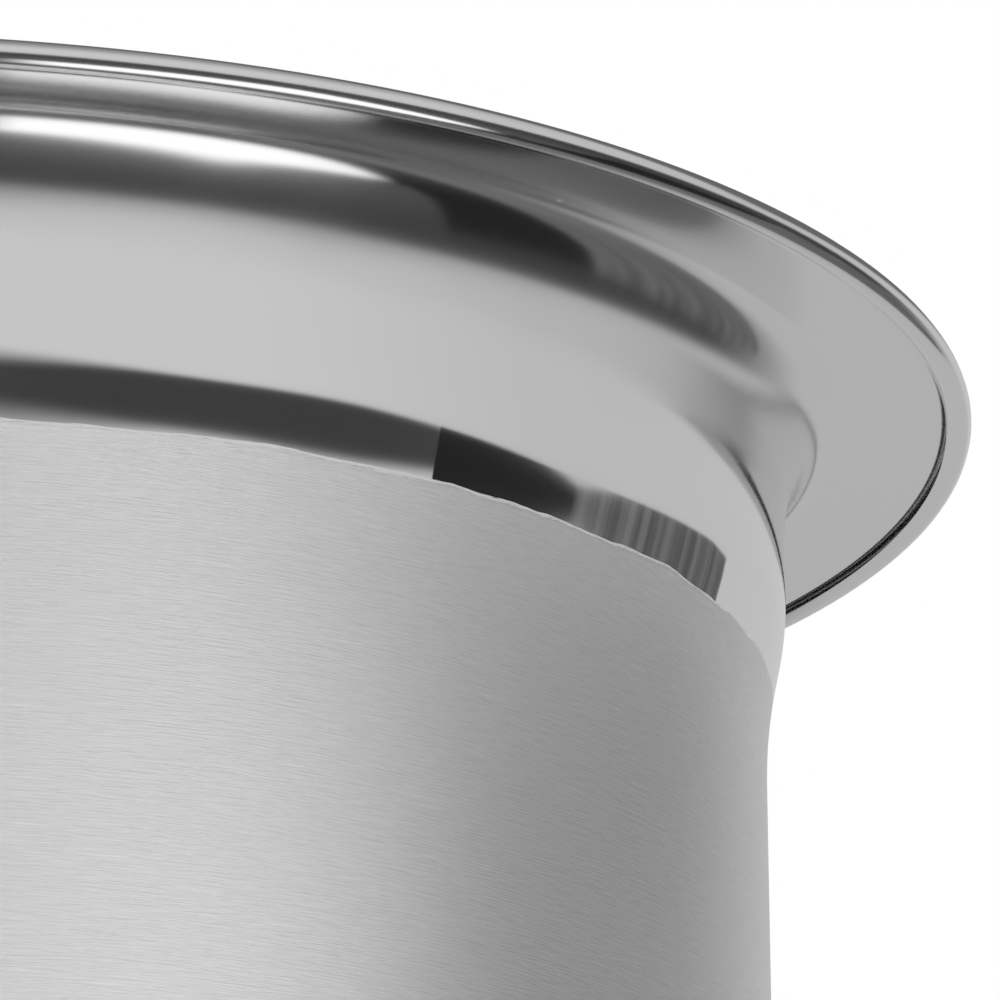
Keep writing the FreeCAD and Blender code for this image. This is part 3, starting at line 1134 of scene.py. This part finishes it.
@dataclass
class Base:
    """Weighted foot: rosette, spun cover, cast disc, closing plate and rubber feet."""

    finishes: Finishes
    radius: float
    tube_radius: float
    cover_top: float
    plate_level: float
    sheet: float = 0.8
    flat_radius: float = 32.0
    dome: Pair = (700.0, 6.0)
    edge_radius: float = 9.0
    hem: Pair = (1.0, 3.0)
    cover_gap: float = 0.6
    rosette: Pair = (29.0, 17.0)
    rosette_edge: float = 1.5
    rosette_neck: float = 1.6
    rosette_waist: Pair = (3.6, 4.4)
    gap: float = 0.05
    foot_radius: float = 11.0
    foot_draft: float = 1.2
    foot_bore: Pair = (2.3, 4.5)
    foot_recess: float = 2.2

    def cover(self) -> np.ndarray:
        """Spun cover with a shallow dome, a rounded edge and a hem under the plate.

        Returns:
            Its closed outline.
        """
        radius, turn = self.dome
        path = SheetPath(
            self.tube_radius + self.cover_gap, self.cover_top, 0.0, -self.sheet, 0.8
        )
        path.run_to_radius(self.flat_radius)
        path.bend(radius, -turn)
        reach = self.edge_radius * (1.0 - math.sin(math.radians(turn)))
        path.run_to_radius(self.radius - reach)
        path.bend(self.edge_radius, turn - UPRIGHT)
        path.run_to_level(self.plate_level - self.sheet + self.hem[0])
        path.bend(self.hem[0], -UPRIGHT)
        path.run(self.hem[1])
        return path.outline(0.2)

    def collar(self) -> np.ndarray:
        """Flared rosette around the foot of the column.

        Returns:
            Its closed outline.
        """
        outer, height = self.rosette
        bore = self.tube_radius + self.gap
        neck, top = bore + self.rosette_neck, self.cover_top + height
        edge = self.cover_top + self.rosette_edge
        waist = (neck + self.rosette_waist[0], edge + self.rosette_waist[1])
        flare = arc_between((outer, edge), waist, (neck, top - 1.0))
        corners = [
            (neck - 0.6, top), (bore, top), (bore, self.cover_top), (outer, self.cover_top),
        ]
        return eased(flare + corners, 0.4)

    def feet(self) -> bpy.types.Object:
        """Four moulded feet with recessed screw holes.

        Returns:
            The piece.
        """
        low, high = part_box("rubber_feet")
        away = high.x - self.foot_radius * MM
        height = high.z / MM
        hole, recess = self.foot_bore
        corners = [
            (hole, height), (hole, self.foot_recess), (recess, self.foot_recess),
            (recess, low.z / MM), (self.foot_radius - self.foot_draft, low.z / MM),
            (self.foot_radius, height),
        ]
        centres = tuple((away * i, away * j) for i in (-1, 1) for j in (-1, 1))
        return turned_piece("rubber_feet_moulded", eased(corners, 0.5), Turn.FOOT, centres)

    def build(self) -> None:
        """Makes the base's pieces and dresses them."""
        cover = turned_piece("base_cover_spun", self.cover(), Turn.BOWL)
        dress(cover, self.finishes.cover, "base_cover")
        rosette = turned_piece("base_rosette_turned", self.collar(), Turn.RING)
        dress(rosette, self.finishes.polished, "base_rosette")
        dress(self.feet(), self.finishes.rubber, "rubber_feet")
        finish_node("base_weight", self.finishes.iron, 0.6)
        finish_node("base_plate", self.finishes.zinc)
        for node in ("base_bolt", "base_spring_washer", "base_washer", "foot_screws"):
            finish_node(node, self.finishes.fastener)


@dataclass
class Studio:
    """Camera, soft surroundings, a low bright card, a dark screen, lamps and a pale floor.

    Lengths are in metres, and the lens in millimetres. The camera's turns are in radians and all
    other ones in degrees. The card's corners are measured from its origin, in units of its drop
    below the rim.
    """

    bead_level: float
    distance: float = 0.8357
    drop: float = 0.2739
    yaw: float = 0.08277
    pitch: float = 0.31190
    roll: float = -0.01892
    lens: float = 324.0
    card_drop: float = 0.20
    card_light: float = 1.35
    card_edge: float = 0.035
    card: tuple[Pair, ...] = (
        (0.27, -0.99), (1.29, -0.98), (1.31, -0.07), (0.82, 0.21), (0.07, -0.22),
    )
    card_origin: Pair = (0.03, -0.10)
    flag_radius: float = 0.152
    flag_drop: float = 0.0195
    flag_height: float = 0.30
    flag_turn: Pair = (52.5, 96.0)
    flag_black: float = 69.0
    flag_rise: tuple[Pair, Pair] = ((69.0, 92.0), (0.0, 0.0105))
    front_light: float = 0.70
    side_light: float = 0.60
    top_share: float = 0.45
    back_light: float = 0.15
    ground_light: Pair = (0.05, 0.10)
    rear_ground_light: float = 0.52
    lamp_height: float = 3.2
    low_lamp: Triple = (-0.10, -0.52, -0.42)
    floor_radius: float = 3.0

    def camera(self) -> None:
        """Looks up at the rim from the front, slightly to its left."""
        data = bpy.data.cameras.new("camera")
        data.lens = self.lens
        data.sensor_width = 36.0
        data.clip_start = 0.05
        data.clip_end = 60.0
        level = Vector((math.cos(self.yaw), -math.sin(self.yaw), 0.0))
        ahead = Vector((math.sin(self.yaw), math.cos(self.yaw), 0.0)) * math.cos(self.pitch)
        ahead.z = math.sin(self.pitch)
        rise = level.cross(ahead)
        turn, lean = math.cos(self.roll), math.sin(self.roll)
        right = level * turn + rise * lean
        up = rise * turn - level * lean
        matrix = Matrix((right, up, -ahead)).transposed().to_4x4()
        matrix.translation = Vector((0.0, -self.distance, self.bead_level - self.drop))
        eye = placed("camera", data)
        eye.matrix_world = matrix
        bpy.context.scene.camera = eye

    def surroundings(self) -> None:
        """Soft room light: bright around, dimmer overhead and behind, dark below the horizon."""
        world = bpy.data.worlds.new("studio")
        world.use_nodes = True
        bpy.context.scene.world = world
        w = Wiring(world.node_tree)
        x, y, z = w.split(w.place("TexCoord").outputs["Generated"])
        aside = w.maths("ABSOLUTE", w.azimuth(x, y))
        height = w.maths("DEGREES", w.maths("ARCSINE", z))
        around = w.ramp(aside, 45.0, 100.0, self.front_light, self.side_light)
        upper = w.product(around, w.ramp(height, 35.0, 85.0, 1.0, self.top_share))
        behind = w.product(w.ramp(y, 0.15, 0.35), w.ramp(height, 18.0, 26.0))
        upper = w.blend(behind, upper, self.back_light)
        lower = w.ramp(height, -8.0, -40.0, *self.ground_light)
        rear = w.product(w.ramp(aside, 118.0, 148.0), w.ramp(height, -58.0, -28.0))
        lower = w.blend(rear, lower, self.rear_ground_light)
        soft = w.ramp(aside, 15.0, 45.0, 5.0, 1.0)
        horizon = w.ramp(aside, 40.0, 68.0, -0.5, 1.5)
        share = w.maths("DIVIDE", w.maths("SUBTRACT", height, horizon), soft)
        light = w.blend(w.ramp(share, -1.0, 1.0), lower, upper)
        shown = w.blend(w.place("LightPath").outputs["Is Camera Ray"], light, 1.0)
        surface = w.place("Background", w.joined(shown, shown, shown))
        w.place("OutputWorld", surface.outputs[0])

    def glowing(
        self, name: str, points: list[Triple], faces: list[tuple[int, ...]]
    ) -> tuple[Wiring, Socket, Socket]:
        """Adds a studio surface that shows only in reflections.

        Args:
            name: Name of the surface.
            points: Its corners.
            faces: Its faces.

        Returns:
            Its wiring, its place and the strength of its light.
        """
        mesh = bpy.data.meshes.new(name)
        mesh.from_pydata(points, [], faces)
        material = bpy.data.materials.new(name)
        material.use_nodes = True
        w = Wiring(material.node_tree)
        glow = w.place("Emission")
        w.place("OutputMaterial", glow.outputs[0])
        mesh.materials.append(material)
        surface = placed(name, mesh)
        surface.visible_camera = False
        surface.visible_shadow = False
        surface.visible_diffuse = False
        return w, w.place("TexCoord").outputs["Object"], glow.inputs["Strength"]

    def reflector(self) -> None:
        """Bright card with soft edges, in front and below the rim, facing up."""
        level = self.bead_level - self.card_drop
        east, north = self.card_origin
        corners = [(east + x * self.card_drop, north + y * self.card_drop) for x, y in self.card]
        face = tuple(range(len(corners)))
        w, place, strength = self.glowing("studio_card", [(*c, level) for c in corners], [face])
        x, y, _ = w.split(place)
        light = w.blend(w.place("NewGeometry").outputs["Backfacing"], self.card_light, 0.0)
        for (x0, y0), (x1, y1) in zip(corners, corners[1:] + corners[:1]):
            length = math.hypot(x1 - x0, y1 - y0)
            inward = ((y0 - y1) / length, (x1 - x0) / length)
            offset = -(inward[0] * x0 + inward[1] * y0)
            inside = w.total(w.product(x, inward[0]), w.product(y, inward[1]), offset)
            light = w.product(light, w.ramp(inside, 0.0, self.card_edge))
        w.feed(strength, light)

    def flag(self) -> None:
        """Dark screen close to the right side: black, then dark grey with upright bars."""
        level = self.bead_level - self.flag_drop
        count = 24
        start, end = self.flag_turn
        turns = [math.radians(start + (end - start) * i / count) for i in range(count + 1)]
        rises = np.interp(np.degrees(turns), self.flag_rise[0], self.flag_rise[1])
        points = [
            (self.flag_radius * math.sin(turn), -self.flag_radius * math.cos(turn), height)
            for turn, rise in zip(turns, rises)
            for height in (level - self.flag_height, level + rise)
        ]
        faces = [(2 * i, 2 * i + 2, 2 * i + 3, 2 * i + 1) for i in range(count)]
        w, place, strength = self.glowing("studio_flag", points, faces)
        x, y, z = w.split(place)
        turn = w.azimuth(x, y)
        bars = w.noise(w.joined(turn, 0.0, 0.0), 0.45, 3.0, 0.6)
        bars = w.ramp(bars, 0.38, 0.62, 0.09, 0.19)
        depth = w.maths("SUBTRACT", level, z)
        bars = w.product(bars, w.ramp(depth, 0.03, 0.08, 1.0, 1.3))
        grey = w.ramp(turn, self.flag_black - 0.5, self.flag_black + 0.5)
        w.feed(strength, w.blend(grey, w.ramp(depth, 0.04, 0.10, 0.018, 0.06), bars))

    def floor(self) -> None:
        """Pale round floor, left out of reflections and clear from below."""
        mesh = bpy.data.meshes.new("studio_floor")
        count = 96
        turns = [2.0 * math.pi * i / count for i in range(count)]
        ring = [Vector((math.cos(turn), math.sin(turn), 0.0)) * self.floor_radius for turn in turns]
        mesh.from_pydata(ring, [], [tuple(range(count))])
        finish = Finish("pale_floor")
        finish.set(Base_Color=(0.86, 0.86, 0.86, 1.0), Roughness=0.8)
        w = finish.wiring
        from_below = w.place("NewGeometry").outputs["Backfacing"]
        clear = w.place("BsdfTransparent").outputs[0]
        mixed = w.place("MixShader", from_below, finish.shader.outputs[0], clear)
        w.feed(finish.surface, mixed.outputs[0])
        mesh.materials.append(finish.material)
        floor = placed("studio_floor", mesh)
        floor.visible_glossy = False

    def lamp(
        self, name: str, place: Vector, target: Vector, size: float, power: float, spread: float
    ) -> None:
        """Adds a round soft light that is left out of reflections.

        Args:
            name: Name of the light.
            place: Where it hangs.
            target: Where it points.
            size: Its diameter.
            power: Its power in watts.
            spread: Angle that its light fills, in degrees.
        """
        data = bpy.data.lights.new(name, "AREA")
        data.shape = "DISK"
        data.size = size
        data.energy = power
        data.spread = math.radians(spread)
        lamp = placed(name, data)
        lamp.location = place
        lamp.rotation_mode = "QUATERNION"
        lamp.rotation_quaternion = (target - place).to_track_quat("-Z", "Y")
        lamp.visible_camera = False
        lamp.visible_glossy = False

    def lamps(self) -> None:
        """Hangs a wide light above, and sets a small one low in front of the bucket."""
        self.lamp("overhead", Vector((0.0, 0.0, self.lamp_height)), Vector(), 2.4, 60.0, 180.0)
        rim = Vector((0.0, 0.0, self.bead_level))
        target = rim - Vector((0.0, 0.0, 0.08))
        self.lamp("low_front", rim + Vector(self.low_lamp), target, 0.30, 1.0, 70.0)

    def build(self) -> None:
        """Sets up the studio."""
        bpy.context.scene.view_settings.view_transform = "Standard"
        self.camera()
        self.surroundings()
        self.reflector()
        self.flag()
        self.floor()
        self.lamps()


def corners(bounds: tuple[Vector, Vector]) -> list[list[float]]:
    """Turns a box's lowest and highest corner into plain lists."""
    return [list(bounds[0]), list(bounds[1])]


def main() -> None:
    """Builds the object and the studio, and reports each piece."""
    logging.basicConfig(level=logging.INFO, format="%(name)s: %(message)s")
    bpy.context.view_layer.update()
    finishes = Finishes()
    low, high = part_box("bucket_shell")
    bucket = Bucket(floor=low.z / MM, rim_radius=high.x / MM)
    bucket.build()
    tube_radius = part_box("upper_tube")[1].x / MM
    dish_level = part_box("seat_dish")[0].z / MM
    Seat(finishes, dish_level, hub_level=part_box("dish_hub")[0].z / MM).build()
    Column(finishes, tube_radius).build()
    cover_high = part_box("base_cover")[1]
    Base(
        finishes,
        radius=cover_high.x / MM,
        tube_radius=tube_radius,
        cover_top=cover_high.z / MM,
        plate_level=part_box("base_plate")[0].z / MM,
    ).build()
    Studio(bucket.bead_level * MM).build()


if __name__ == "__main__":
    main()
